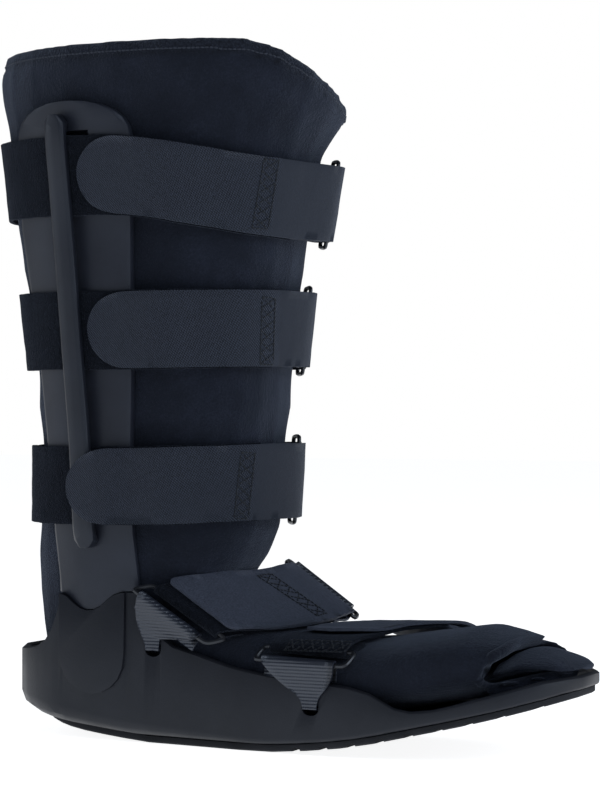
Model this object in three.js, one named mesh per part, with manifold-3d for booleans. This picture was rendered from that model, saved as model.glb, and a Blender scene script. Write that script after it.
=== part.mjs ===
// Medical walking boot: a rigid rocker shell with two uprights, an overlapping padded liner,
// three leg straps and two foot straps. Millimetres, toe towards +X, near side -Y, +Z up.
// X is measured from the leg's axis while the pieces are made, and the whole boot is centred at the end.
import * as THREE from 'three';
import { mergeVertices } from 'three/addons/utils/BufferGeometryUtils.js';
import Module from 'manifold-3d';

const wasm = await Module();
wasm.setup();

// Overall sizes
const soleLength = 357;
const soleHalfWidth = 57.5;
const heelReach = 90;
const toeSpring = 36;
const earHeight = 88;
const bootHeight = 404;
const legHalfDepth = 108;
const legHalfWidth = 76;
const gap = 0.5;

// Sole and shell
const treadThickness = 4;
const grooveCount = 9;
const grooveWidth = 5;
const grooveDepth = 1.6;
const footbedHeight = 12;
const lipHeight = 2;
const holeWidth = 10.4;
const holeHeight = 7.5;
const shellWall = 4;
const heelCornerRadius = 13;
const toeCornerRadius = 2;
const heelPlanRadius = 54;
const toePlanRadius = 46;
const planPower = 2.2;

// Uprights, their sockets and keeper bars
const uprightThickness = 6;
const uprightRear = -42;
const uprightFront = 13;
const socketFront = 2;
const socketBottom = 28;
const plateStart = 70;
const flangeStart = 348;
const flangeRise = 21;
const flangePower = 2.3;
const slotLength = 16;
const slotHeight = 12;
const slotCentre = [-17, 346];
const barWidth = 13.5;
const barThickness = 5;
const barTop = 361;
const barBottom = 113;

// Liner
const padThickness = 7;
const linerClearance = 1.2;
const linerSteps = 28;
const nearFlapEdge = -28;
const farFlapEdge = 388;
const overlapGap = 0.7;
const toeFlapThickness = 5;
const plateFace = linerClearance + uprightThickness;

// Leg straps
const legStrapWidth = 45;
const pileThickness = 2.6;
const tabThickness = 1.8;
const wireRadius = 1.3;
const wireSides = 6;
const ringDepth = 15;
const turnClearance = 0.9;
const tailRun = 44;
const strapRest = 1;
const ringAngle = -24;
const ringCorner = 3;
const ringSpare = 3.3;

// Foot straps
const footStrapWidth = 49;
const footRingDepth = 12.5;
const footClearance = 0.6;
const webbingWidth = 44;
const webbingThickness = 1.4;
const webbingTail = 9;

// Stations of the sole from heel to toe. along is a share of soleLength, half a share of
// soleHalfWidth, lift a share of toeSpring.
const soleRows = [
  { along: 0.000, half: 0.86, lift: 0.26 },
  { along: 0.070, half: 0.87, lift: 0.17 },
  { along: 0.135, half: 0.88, lift: 0.10 },
  { along: 0.200, half: 0.887, lift: 0.04 },
  { along: 0.255, half: 0.89, lift: 0.00 },
  { along: 0.360, half: 0.90, lift: 0.00 },
  { along: 0.465, half: 0.92, lift: 0.00 },
  { along: 0.566, half: 0.95, lift: 0.07 },
  { along: 0.655, half: 0.985, lift: 0.19 },
  { along: 0.740, half: 1.00, lift: 0.37 },
  { along: 0.825, half: 1.00, lift: 0.56 },
  { along: 0.908, half: 0.97, lift: 0.76 },
  { along: 1.000, half: 0.92, lift: 1.00 },
];

// Top edge of the shell wall. along is a share of soleLength, rim a share of earHeight.
const rimRows = [
  { along: 0.003, rim: 0.580 },
  { along: 0.030, rim: 0.583 },
  { along: 0.055, rim: 0.592 },
  { along: 0.080, rim: 0.612 },
  { along: 0.100, rim: 0.660 },
  { along: 0.115, rim: 0.740 },
  { along: 0.127, rim: 0.860 },
  { along: 0.1373, rim: 1.000 },
  { along: 0.2885, rim: 1.000 },
  { along: 0.297, rim: 0.930 },
  { along: 0.309, rim: 0.800 },
  { along: 0.322, rim: 0.710 },
  { along: 0.342, rim: 0.655 },
  { along: 0.385, rim: 0.612 },
  { along: 0.445, rim: 0.545 },
  { along: 0.515, rim: 0.500 },
  { along: 0.590, rim: 0.475 },
  { along: 0.658, rim: 0.452 },
  { along: 0.692, rim: 0.420 },
  { along: 0.715, rim: 0.375 },
  { along: 0.735, rim: 0.338 },
  { along: 0.762, rim: 0.322 },
  { along: 0.798, rim: 0.340 },
  { along: 0.862, rim: 0.412 },
  { along: 0.920, rim: 0.480 },
  { along: 0.960, rim: 0.528 },
  { along: 0.997, rim: 0.545 },
];

// Wavy seam between an ear of the shell and the upright on it. x is a share of legHalfDepth,
// up a share of earHeight.
const seamRows = [
  { x: -0.42, up: 0.985 },
  { x: -0.33, up: 0.950 },
  { x: -0.27, up: 0.886 },
  { x: -0.20, up: 0.864 },
  { x: -0.14, up: 0.886 },
  { x: -0.08, up: 0.943 },
  { x: -0.02, up: 0.985 },
  { x: 0.06, up: 0.995 },
  { x: 0.16, up: 0.995 },
];

// Outline of each upright. up is a share of bootHeight, rear and front are the edges' X in
// shares of legHalfDepth.
const uprightRows = [
  { up: 0.17, rear: -0.395, front: 0.095 },
  { up: 0.26, rear: -0.405, front: 0.080 },
  { up: 0.32, rear: -0.420, front: 0.080 },
  { up: 0.43, rear: -0.465, front: 0.090 },
  { up: 0.53, rear: -0.505, front: 0.108 },
  { up: 0.65, rear: -0.560, front: 0.116 },
  { up: 0.745, rear: -0.610, front: 0.125 },
  { up: 0.862, rear: -0.590, front: 0.155 },
  { up: 0.925, rear: -0.590, front: 0.160 },
];

// Middle line of the keeper bar. up is a share of bootHeight, x a share of legHalfDepth.
const barRows = [
  { up: 0.279, x: -0.172 },
  { up: 0.350, x: -0.175 },
  { up: 0.433, x: -0.182 },
  { up: 0.532, x: -0.208 },
  { up: 0.690, x: -0.240 },
  { up: 0.755, x: -0.255 },
  { up: 0.898, x: -0.262 },
];

// Sections of the liner from the top of the leg round the heel to the toe. back and front are the
// section's ends in the middle plane, X in shares of legHalfDepth and Z in shares of bootHeight.
// half is a share of legHalfWidth, power the squareness and dip the drop of the front, in mm.
const linerRows = [
  { backX: -0.890, backZ: 0.9930, frontX: 1.025, frontZ: 0.9930, half: 1.000, power: 2.25, dip: 34 },
  { backX: -0.918, backZ: 0.9600, frontX: 1.027, frontZ: 0.9560, half: 0.985, power: 2.25, dip: 24 },
  { backX: -0.897, backZ: 0.9050, frontX: 0.970, frontZ: 0.9000, half: 0.945, power: 2.25, dip: 10 },
  { backX: -0.875, backZ: 0.8500, frontX: 0.890, frontZ: 0.8450, half: 0.895, power: 2.30, dip: 0 },
  { backX: -0.845, backZ: 0.7500, frontX: 0.826, frontZ: 0.7500, half: 0.815, power: 2.35, dip: 0 },
  { backX: -0.770, backZ: 0.6500, frontX: 0.763, frontZ: 0.6500, half: 0.785, power: 2.40, dip: 0 },
  { backX: -0.706, backZ: 0.5300, frontX: 0.714, frontZ: 0.5300, half: 0.750, power: 2.40, dip: 0 },
  { backX: -0.680, backZ: 0.4200, frontX: 0.672, frontZ: 0.4250, half: 0.720, power: 2.40, dip: 0 },
  { backX: -0.692, backZ: 0.3400, frontX: 0.660, frontZ: 0.3600, half: 0.700, power: 2.40, dip: 0 },
  { backX: -0.712, backZ: 0.2700, frontX: 0.650, frontZ: 0.3080, half: 0.670, power: 2.40, dip: 0 },
  { backX: -0.714, backZ: 0.2050, frontX: 0.580, frontZ: 0.2680, half: 0.612, power: 2.45, dip: 0 },
  { backX: -0.680, backZ: 0.1450, frontX: 0.500, frontZ: 0.2400, half: 0.600, power: 2.50, dip: 0 },
  { backX: -0.640, backZ: 0.0900, frontX: 0.460, frontZ: 0.2240, half: 0.600, power: 2.55, dip: 0 },
  { backX: -0.520, backZ: 0.0460, frontX: 0.470, frontZ: 0.2110, half: 0.597, power: 2.60, dip: 0 },
  { backX: -0.190, backZ: 0.0365, frontX: 0.540, frontZ: 0.1970, half: 0.597, power: 2.70, dip: 0 },
  { backX: 0.250, backZ: 0.0340, frontX: 0.660, frontZ: 0.1810, half: 0.600, power: 2.70, dip: 0 },
  { backX: 0.650, backZ: 0.0325, frontX: 0.830, frontZ: 0.1630, half: 0.620, power: 2.60, dip: 0 },
  { backX: 1.000, backZ: 0.0370, frontX: 1.070, frontZ: 0.1520, half: 0.645, power: 2.60, dip: 0 },
  { backX: 1.350, backZ: 0.0500, frontX: 1.360, frontZ: 0.1570, half: 0.675, power: 2.60, dip: 0 },
  { backX: 1.670, backZ: 0.0690, frontX: 1.650, frontZ: 0.1690, half: 0.680, power: 2.60, dip: 0 },
  { backX: 1.930, backZ: 0.0810, frontX: 1.910, frontZ: 0.1790, half: 0.655, power: 2.50, dip: 0 },
  { backX: 2.150, backZ: 0.0985, frontX: 2.130, frontZ: 0.1660, half: 0.590, power: 2.40, dip: 0 },
  { backX: 2.310, backZ: 0.1110, frontX: 2.290, frontZ: 0.1500, half: 0.480, power: 2.30, dip: 0 },
  { backX: 2.430, backZ: 0.1200, frontX: 2.410, frontZ: 0.1380, half: 0.330, power: 2.20, dip: 0 },
];

// Cuts in the liner's near side: the toe end of the near flap and the notch in front of the ankle.
// along is a share of soleLength and up a share of bootHeight.
const toeCut = [
  { along: 0.860, up: 0.106 },
  { along: 0.865, up: 0.124 },
  { along: 0.882, up: 0.144 },
  { along: 0.905, up: 0.160 },
  { along: 0.930, up: 0.173 },
  { along: 0.986, up: 0.203 },
  { along: 1.090, up: 0.203 },
  { along: 1.090, up: 0.131 },
  { along: 0.986, up: 0.125 },
  { along: 0.924, up: 0.116 },
];
const ankleCut = [
  { along: 0.437, up: 0.241 },
  { along: 0.471, up: 0.255 },
  { along: 0.493, up: 0.277 },
  { along: 0.510, up: 0.314 },
  { along: 0.560, up: 0.314 },
  { along: 0.560, up: 0.198 },
  { along: 0.487, up: 0.205 },
];

// Rows of the inner toe flap. along is a share of soleLength, top and crown are shares of
// bootHeight and half a share of soleHalfWidth.
const toeFlapRows = [
  { along: 0.868, top: 0.138, half: 0.55, crown: 0.016 },
  { along: 0.890, top: 0.146, half: 0.58, crown: 0.020 },
  { along: 0.909, top: 0.153, half: 0.59, crown: 0.020 },
  { along: 0.938, top: 0.149, half: 0.56, crown: 0.015 },
  { along: 0.966, top: 0.142, half: 0.47, crown: 0.011 },
  { along: 0.984, top: 0.134, half: 0.33, crown: 0.007 },
  { along: 0.993, top: 0.130, half: 0.14, crown: 0.002 },
];

// The three leg straps from the top down. level and frontDrop are shares of bootHeight, tabEnd is
// the X of the tab's round end in shares of legHalfDepth, overBar says that the tab lies over the
// keeper bar, and stand is how far the ring stands out, in shares of ringDepth.
const legStraps = [
  { name: 'upper', level: 0.808, frontDrop: 0.037, tabEnd: -0.135, overBar: 0, stand: 0.28 },
  { name: 'middle', level: 0.589, frontDrop: -0.004, tabEnd: -0.110, overBar: 0, stand: -0.05 },
  { name: 'lower', level: 0.368, frontDrop: -0.008, tabEnd: -0.215, overBar: 1, stand: 0.08 },
];

// The two foot straps. tabReach is the part of the strap that the tab covers, hole the slot in the
// near wall and farHole the one in the far wall. Each row is a section across the strap: side is a
// share of legHalfWidth, rear and front are shares of soleLength, rearUp and frontUp of bootHeight.
const footStraps = [
  {
    name: 'instep', tabReach: 0.87, roundTab: false,
    hole: { along: 0.307, up: 0.135 }, farHole: { along: 0.400, up: 0.118 },
    rows: [
      { side: -0.78, rear: 0.291, rearUp: 0.216, front: 0.403, frontUp: 0.156 },
      { side: -0.66, rear: 0.318, rearUp: 0.219, front: 0.424, frontUp: 0.160 },
      { side: -0.50, rear: 0.361, rearUp: 0.225, front: 0.452, frontUp: 0.168 },
      { side: -0.30, rear: 0.409, rearUp: 0.229, front: 0.484, frontUp: 0.175 },
      { side: 0.00, rear: 0.430, rearUp: 0.227, front: 0.506, frontUp: 0.177 },
      { side: 0.30, rear: 0.437, rearUp: 0.231, front: 0.520, frontUp: 0.178 },
      { side: 0.55, rear: 0.432, rearUp: 0.234, front: 0.526, frontUp: 0.176 },
      { side: 0.74, rear: 0.418, rearUp: 0.242, front: 0.522, frontUp: 0.180 },
    ],
  },
  {
    name: 'forefoot', tabReach: 0.79, roundTab: true,
    hole: { along: 0.590, up: 0.0655 }, farHole: { along: 0.668, up: 0.072 },
    rows: [
      { side: -0.77, rear: 0.499, rearUp: 0.132, front: 0.650, frontUp: 0.126 },
      { side: -0.66, rear: 0.504, rearUp: 0.142, front: 0.655, frontUp: 0.138 },
      { side: -0.50, rear: 0.514, rearUp: 0.154, front: 0.664, frontUp: 0.153 },
      { side: -0.25, rear: 0.535, rearUp: 0.162, front: 0.683, frontUp: 0.165 },
      { side: 0.00, rear: 0.557, rearUp: 0.165, front: 0.704, frontUp: 0.170 },
      { side: 0.30, rear: 0.583, rearUp: 0.164, front: 0.727, frontUp: 0.169 },
      { side: 0.58, rear: 0.610, rearUp: 0.156, front: 0.751, frontUp: 0.158 },
      { side: 0.77, rear: 0.627, rearUp: 0.137, front: 0.768, frontUp: 0.133 },
    ],
  },
];

const colours = {
  shell: 0x2b2d33, tread: 0x202125, upright: 0x2c2f37, bar: 0x30333b, liner: 0x1b2029,
  pile: 0x17191f, tab: 0x252a34, metal: 0x15161a, webbing: 0x2a2e38,
};

// Smooth value of one column of a table, without overshoot
function column(rows, key, value, at) {
  const last = rows.length - 1;
  if (at <= rows[0][key]) return rows[0][value];
  if (at >= rows[last][key]) return rows[last][value];
  let i = 0;
  while (at > rows[i + 1][key]) i += 1;
  const secant = (j) => (rows[j + 1][value] - rows[j][value]) / (rows[j + 1][key] - rows[j][key]);
  const slope = (j) => {
    if (j <= 0) return secant(0);
    if (j >= last) return secant(last - 1);
    const before = secant(j - 1);
    const after = secant(j);
    return before * after <= 0 ? 0 : (2 * before * after) / (before + after);
  };
  const h = rows[i + 1][key] - rows[i][key];
  const t = (at - rows[i][key]) / h;
  const a = 2 * t ** 3 - 3 * t ** 2 + 1;
  const b = t ** 3 - 2 * t ** 2 + t;
  const c = -2 * t ** 3 + 3 * t ** 2;
  const d = t ** 3 - t ** 2;
  return a * rows[i][value] + b * h * slope(i) + c * rows[i + 1][value] + d * h * slope(i + 1);
}

const mix = (from, to, t) => from + (to - from) * t;
const clamp01 = (t) => Math.min(1, Math.max(0, t));
const smooth = (t) => clamp01(t) ** 2 * (3 - 2 * clamp01(t));
const radians = (degrees) => (degrees * Math.PI) / 180;
const vector = (x, y, z) => new THREE.Vector3(x, y, z);

// Closed body from triangles: merges its corners and turns its faces outwards
function closedBody(geometry) {
  geometry.deleteAttribute('normal');
  geometry.deleteAttribute('uv');
  const merged = mergeVertices(geometry, 1e-4);
  const place = merged.getAttribute('position');
  const index = Array.from(merged.getIndex().array);
  const corner = (i) => new THREE.Vector3().fromBufferAttribute(place, i);
  const kept = [];
  let volume = 0;
  for (let i = 0; i < index.length; i += 3) {
    const [a, b, c] = [index[i], index[i + 1], index[i + 2]];
    if (a !== b && b !== c && a !== c) {
      kept.push(a, b, c);
      volume += corner(a).dot(corner(b).cross(corner(c)));
    }
  }
  if (volume < 0) {
    for (let i = 0; i < kept.length; i += 3) [kept[i], kept[i + 1]] = [kept[i + 1], kept[i]];
  }
  merged.setIndex(kept);
  return merged;
}

// Body through a row of rings with as many points each. Each end is closed by joining point i to
// point n - 1 - i, which suits a bent strip, a C and an outline with two like sides.
function loft(rings, ringsClose = false) {
  const count = rings[0].length;
  const points = rings.flat();
  const index = [];
  const quad = (a, b, c, d) => index.push(a, b, c, a, c, d);
  const spans = ringsClose ? rings.length : rings.length - 1;
  for (let r = 0; r < spans; r += 1) {
    const next = (r + 1) % rings.length;
    for (let i = 0; i < count; i += 1) {
      const j = (i + 1) % count;
      quad(r * count + i, r * count + j, next * count + j, next * count + i);
    }
  }
  if (!ringsClose) {
    const end = (rings.length - 1) * count;
    for (let i = 0; i < count / 2 - 1; i += 1) {
      quad(i, count - 1 - i, count - 2 - i, i + 1);
      quad(end + i, end + i + 1, end + count - 2 - i, end + count - 1 - i);
    }
  }
  const geometry = new THREE.BufferGeometry();
  const flat = points.flatMap((p) => [p.x, p.y, p.z]);
  geometry.setAttribute('position', new THREE.Float32BufferAttribute(flat, 3));
  geometry.setIndex(index);
  return closedBody(geometry);
}

// Strip with a rectangular section through stations of { p, normal, across, half, thick }
function ribbon(stations) {
  return loft(stations.map(({ p, normal, across, half, thick }) => {
    const out = normal.clone().multiplyScalar(thick / 2);
    const side = across.clone().multiplyScalar(half);
    return [
      p.clone().add(out).sub(side),
      p.clone().add(out).add(side),
      p.clone().sub(out).add(side),
      p.clone().sub(out).sub(side),
    ];
  }));
}

// Ring of round wire along a closed flat path
function wireRing(path, normal, radius) {
  const rings = path.map((p, i) => {
    const before = path[(i + path.length - 1) % path.length];
    const after = path[(i + 1) % path.length];
    const inward = after.clone().sub(before).normalize().cross(normal);
    return Array.from({ length: wireSides }, (_, k) => {
      const turn = (2 * Math.PI * k) / wireSides;
      return p.clone()
        .addScaledVector(inward, radius * Math.cos(turn))
        .addScaledVector(normal, radius * Math.sin(turn));
    });
  });
  return loft(rings, true);
}

function toSolid(geometry) {
  const body = closedBody(geometry.clone());
  return new wasm.Manifold(new wasm.Mesh({
    numProp: 3,
    vertProperties: new Float32Array(body.getAttribute('position').array),
    triVerts: new Uint32Array(body.getIndex().array),
  }));
}

function toGeometry(solid) {
  const mesh = solid.getMesh();
  const geometry = new THREE.BufferGeometry();
  geometry.setAttribute('position', new THREE.BufferAttribute(mesh.vertProperties, 3));
  geometry.setIndex(Array.from(mesh.triVerts));
  return geometry;
}

// Prism of an outline in the XZ plane, from one Y to another
function sideProfile(outline, fromY, toY) {
  const shape = new THREE.Shape(outline.map(([x, z]) => new THREE.Vector2(x, z)));
  const prism = new THREE.ExtrudeGeometry(shape, { depth: toY - fromY, bevelEnabled: false });
  prism.rotateX(Math.PI / 2);
  prism.translate(0, toY, 0);
  return prism;
}

function mirrored(geometry) {
  const copy = geometry.clone();
  copy.scale(1, -1, 1);
  return closedBody(copy);
}

const group = new THREE.Group();

function add(name, geometry, colour, roughness = 0.7, metalness = 0) {
  const material = new THREE.MeshStandardMaterial({ color: colour, roughness, metalness });
  const mesh = new THREE.Mesh(geometry, material);
  mesh.name = name;
  group.add(mesh);
  return mesh;
}

// Sole: heights and half widths along the boot
const alongAt = (x) => (x + heelReach) / soleLength;
const xAt = (along) => along * soleLength - heelReach;
const bottomAt = (along) => toeSpring * column(soleRows, 'along', 'lift', along);
const rimAt = (along) => earHeight * column(rimRows, 'along', 'rim', along);
const footbedAt = (along) => Math.min(bottomAt(along) + footbedHeight, rimAt(along) - lipHeight);
const seamAt = (x) => earHeight * column(seamRows, 'x', 'up', x / legHalfDepth);
const sideOutline = (rows) => rows.map((row) => [xAt(row.along), row.up * bootHeight]);

function halfWidthAt(along, inset) {
  const fromHeel = along * (soleLength - 2 * inset);
  const fromToe = (1 - along) * (soleLength - 2 * inset);
  const rounding = (distance, radius) => {
    if (distance >= radius) return 1;
    return (1 - (1 - distance / radius) ** planPower) ** (1 / planPower);
  };
  const side = soleHalfWidth * column(soleRows, 'along', 'half', along) - inset;
  return side * rounding(fromHeel, heelPlanRadius - inset) * rounding(fromToe, toePlanRadius - inset);
}

// Outline of the sole seen from above, both sides at the same stations
function planRing(stations, inset, height) {
  const point = (along, side) => vector(
    inset - heelReach + along * (soleLength - 2 * inset),
    side * halfWidthAt(along, inset),
    height(along),
  );
  return [
    ...stations.map((along) => point(along, -1)),
    ...stations.slice().reverse().map((along) => point(along, 1)),
  ];
}

// The same with an inset that changes along the sole
function roundedRing(stations, insetAt, height) {
  const point = (along, side) => vector(
    mix(insetAt(0), soleLength - insetAt(1), along) - heelReach,
    side * Math.max(halfWidthAt(along, 0) - insetAt(along), 1),
    height(along),
  );
  return [
    ...stations.map((along) => point(along, -1)),
    ...stations.slice().reverse().map((along) => point(along, 1)),
  ];
}

const cornerRadiusAt = (along) => mix(heelCornerRadius, toeCornerRadius, smooth(along * 1.6));

function shellStations() {
  const longest = 0.045;
  const stations = [];
  for (let i = 0; i < rimRows.length - 1; i += 1) {
    const span = rimRows[i + 1].along - rimRows[i].along;
    const steps = Math.ceil(span / longest);
    for (let k = 0; k < steps; k += 1) stations.push(rimRows[i].along + (span * k) / steps);
  }
  stations.push(rimRows[rimRows.length - 1].along);
  return stations;
}

// Half round slot with a flat top
function holeOutline({ along, up }) {
  const x = xAt(along);
  const z = up * bootHeight;
  const points = [[x - holeWidth / 2, z + holeHeight / 2]];
  const steps = 8;
  for (let k = 0; k <= steps; k += 1) {
    const turn = Math.PI * (k / steps);
    points.push([x - (holeWidth / 2) * Math.cos(turn), z - (holeHeight / 2) * Math.sin(turn)]);
  }
  points.push([x + holeWidth / 2, z + holeHeight / 2]);
  return points;
}

// Area on one side of the seam: below it down to the floor or above it
function seamSide(lift, end) {
  const steps = 14;
  const from = seamRows[0].x * legHalfDepth;
  const to = seamRows[seamRows.length - 1].x * legHalfDepth;
  const line = Array.from({ length: steps + 1 }, (_, i) => {
    const x = mix(from, to, i / steps);
    return [x, seamAt(x) + lift];
  });
  return sideProfile([...line, [to, end], [from, end]], -legHalfWidth, legHalfWidth);
}

// Raised tongue on the shell under each upright
function socketOutline() {
  const middle = (uprightRear + socketFront) / 2;
  const radius = (socketFront - uprightRear) / 2;
  const points = [[uprightRear + gap, earHeight], [socketFront, earHeight]];
  const steps = 10;
  for (let k = 0; k <= steps; k += 1) {
    const turn = Math.PI * (k / steps);
    const rise = 1.1 * radius * (1 - Math.sin(turn) ** 0.9);
    points.push([middle + (radius - gap) * Math.cos(turn), socketBottom + rise]);
  }
  return points;
}

function makeShell() {
  const stations = shellStations();
  const under = (along) => bottomAt(along) + treadThickness + gap;
  const rings = [0, 30, 60, 90].map((degrees) => {
    const turn = radians(degrees);
    return roundedRing(
      stations,
      (along) => cornerRadiusAt(along) * (1 - Math.sin(turn)),
      (along) => Math.min(under(along) + cornerRadiusAt(along) * (1 - Math.cos(turn)), rimAt(along) - 2),
    );
  });
  const edge = 1.1;
  rings.push(planRing(stations, 0, (along) => rimAt(along) - edge));
  rings.push(planRing(stations, edge, rimAt));
  rings.push(planRing(stations, shellWall - edge, rimAt));
  rings.push(planRing(stations, shellWall, (along) => rimAt(along) - edge));
  rings.push(planRing(stations, shellWall + 0.3, footbedAt));
  let solid = toSolid(loft(rings));
  const face = legHalfWidth * linerRows[10].half + plateFace;
  const tongue = sideProfile(socketOutline(), -face, shellWall - face);
  solid = solid.add(toSolid(tongue)).add(toSolid(mirrored(tongue)));
  solid = solid.subtract(toSolid(seamSide(0, 2 * earHeight)));
  for (const strap of footStraps) {
    solid = solid.subtract(toSolid(sideProfile(holeOutline(strap.hole), -legHalfWidth, 0)));
    solid = solid.subtract(toSolid(sideProfile(holeOutline(strap.farHole), 0, legHalfWidth)));
  }
  return toGeometry(solid);
}

function makeTread() {
  const count = 26;
  const stations = Array.from({ length: count + 1 }, (_, i) => {
    const t = i / count;
    return mix(0.004, 0.996, t - (0.7 * Math.sin(2 * Math.PI * t)) / (2 * Math.PI));
  });
  const ring = (inset, lift) => roundedRing(
    stations,
    (along) => cornerRadiusAt(along) + inset,
    (along) => bottomAt(along) + lift,
  );
  let solid = toSolid(loft([ring(1.5, 0), ring(0.3, 1), ring(0.3, treadThickness)]));
  for (let i = 0; i < grooveCount; i += 1) {
    const along = mix(0.56, 0.95, i / (grooveCount - 1));
    const step = 0.01;
    const slope = (bottomAt(along + step) - bottomAt(along - step)) / (2 * step * soleLength);
    const cutter = new THREE.BoxGeometry(grooveWidth, 3 * soleHalfWidth, 2 * grooveDepth);
    cutter.rotateY(-Math.atan(slope));
    cutter.translate(xAt(along), 0, bottomAt(along));
    solid = solid.subtract(toSolid(cutter));
  }
  return toGeometry(solid);
}

// Leg: sections across the liner, and how far its side stands out at a height
const legRows = linerRows.slice(0, 13).map((row) => ({
  down: (-(row.backZ + row.frontZ) / 2) * bootHeight,
  back: row.backX * legHalfDepth,
  front: row.frontX * legHalfDepth,
  half: row.half * legHalfWidth,
  power: row.power,
}));

function legSection(z) {
  const read = (key) => column(legRows, 'down', key, -z);
  const back = read('back');
  const front = read('front');
  return { middle: (back + front) / 2, depth: (front - back) / 2, half: read('half'), power: read('power') };
}

function sideAt(z, x, offset) {
  const section = legSection(z);
  const share = Math.min(Math.abs(x - section.middle) / (section.depth + offset), 0.999);
  return (section.half + offset) * (1 - share ** section.power) ** (1 / section.power);
}

// Point of the leg's outline at an angle from the front, positive round the near side
function legPoint(z, degrees, offset) {
  const section = legSection(z);
  const turn = radians(degrees);
  const part = (value) => Math.sign(value) * Math.abs(value) ** (2 / section.power);
  return vector(
    section.middle + (section.depth + offset) * part(Math.cos(turn)),
    -(section.half + offset) * part(Math.sin(turn)),
    z,
  );
}

function makeUpright() {
  const plateSteps = 11;
  const flangeSteps = 6;
  const across = [0, 0.04, 0.35, 0.7, 0.96, 1];
  const edgeRound = 1.2;
  const chamfer = 2.2;
  const levels = [];
  for (let i = 0; i <= plateSteps; i += 1) {
    levels.push({ z: mix(plateStart, flangeStart, i / plateSteps), shrink: 1 });
  }
  for (let i = 1; i <= flangeSteps; i += 1) {
    const rise = 0.999 * Math.sin(((Math.PI / 2) * i) / flangeSteps);
    levels.push({ z: flangeStart + rise * flangeRise, shrink: (1 - rise ** flangePower) ** (1 / flangePower) });
  }
  const plate = loft(levels.map(({ z, shrink }) => {
    const rear = legHalfDepth * column(uprightRows, 'up', 'rear', z / bootHeight);
    const front = legHalfDepth * column(uprightRows, 'up', 'front', z / bootHeight);
    const places = across.map((u) => {
      const x = mix((rear + front) / 2, mix(rear, front, u), shrink);
      const edge = u === 0 || u === 1 ? edgeRound : 0;
      const flare = u > 0.9 ? chamfer * (1 - smooth((z - earHeight) / earHeight)) : 0;
      return { x, outside: plateFace - edge - flare };
    });
    return [
      ...places.map(({ x, outside }) => vector(x, -sideAt(z, x, outside), z)),
      ...places.slice().reverse().map(({ x }) => vector(x, -sideAt(z, x, linerClearance), z)),
    ];
  }));
  const slot = new THREE.BoxGeometry(slotLength, 4 * uprightThickness, slotHeight);
  slot.translate(slotCentre[0], -sideAt(slotCentre[1], slotCentre[0], linerClearance), slotCentre[1]);
  return toGeometry(toSolid(plate).subtract(toSolid(slot)).subtract(toSolid(seamSide(gap, 0))));
}

// Slim bar over the bands, whose two ends stand on the upright
function makeBar() {
  const steps = 15;
  const raised = plateFace + gap + pileThickness + 2 * gap;
  const crown = 1.4;
  return loft(Array.from({ length: steps + 1 }, (_, i) => {
    const t = i / steps;
    const z = mix(barBottom, barTop, t - (0.75 * Math.sin(2 * Math.PI * t)) / (2 * Math.PI));
    const fromEnd = Math.min(z - barBottom, barTop - z);
    const roundness = Math.min(1, (fromEnd + 0.8) / (barWidth / 2));
    const half = (barWidth / 2) * Math.sqrt(1 - (1 - roundness) ** 2);
    const x = legHalfDepth * column(barRows, 'up', 'x', z / bootHeight);
    const lift = smooth((fromEnd - 3) / 9);
    const inner = mix(plateFace + gap, raised, lift);
    const outer = raised + mix(0.8, 1, lift) * barThickness;
    const side = (dx, offset) => vector(x + dx, -sideAt(z, x + dx, offset), z);
    return [
      side(-half, outer - crown), side(-half * 0.7, outer), side(half * 0.7, outer),
      side(half, outer - crown), side(half, inner), side(-half, inner),
    ];
  }));
}

// Liner: one padded wall that starts under the near flap, goes round the far side, the back and the
// near side and ends on top of its own start
function linerRing(row) {
  const back = vector(row.backX * legHalfDepth, 0, row.backZ * bootHeight);
  const front = vector(row.frontX * legHalfDepth, 0, row.frontZ * bootHeight);
  const middle = back.clone().add(front).multiplyScalar(0.5);
  const depth = front.distanceTo(back) / 2;
  const towards = front.clone().sub(back).normalize();
  const half = row.half * legHalfWidth;
  const wall = Math.min(padThickness, depth * 0.3);
  const point = (degrees, inset) => {
    const turn = radians(degrees);
    const part = (value) => Math.sign(value) * Math.abs(value) ** (2 / row.power);
    const p = middle.clone()
      .addScaledVector(towards, (depth - inset) * part(Math.cos(turn)))
      .add(vector(0, -(half - inset) * part(Math.sin(turn)), 0));
    const around = degrees > 180 ? degrees - 360 : degrees;
    const nearShare = smooth((50 - around) / 78);
    const farShare = 1 - smooth((nearFlapEdge - around) / 70);
    p.z -= row.dip * Math.min(nearShare, farShare);
    return p;
  };
  const tuck = (degrees) => (wall + overlapGap) * smooth((degrees - 292) / 36);
  const angles = Array.from(
    { length: linerSteps + 1 },
    (_, i) => mix(nearFlapEdge, farFlapEdge, i / linerSteps),
  );
  return [
    ...angles.map((degrees) => point(degrees, tuck(degrees))),
    ...angles.slice().reverse().map((degrees) => point(degrees, tuck(degrees) + wall)),
  ];
}

function makeLiner() {
  const body = toSolid(loft(linerRows.map(linerRing)));
  const toe = toSolid(sideProfile(sideOutline(toeCut), -legHalfWidth, legHalfWidth / 2));
  const ankle = toSolid(sideProfile(sideOutline(ankleCut), -legHalfWidth, -gap));
  return toGeometry(body.subtract(toe).subtract(ankle));
}

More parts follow.
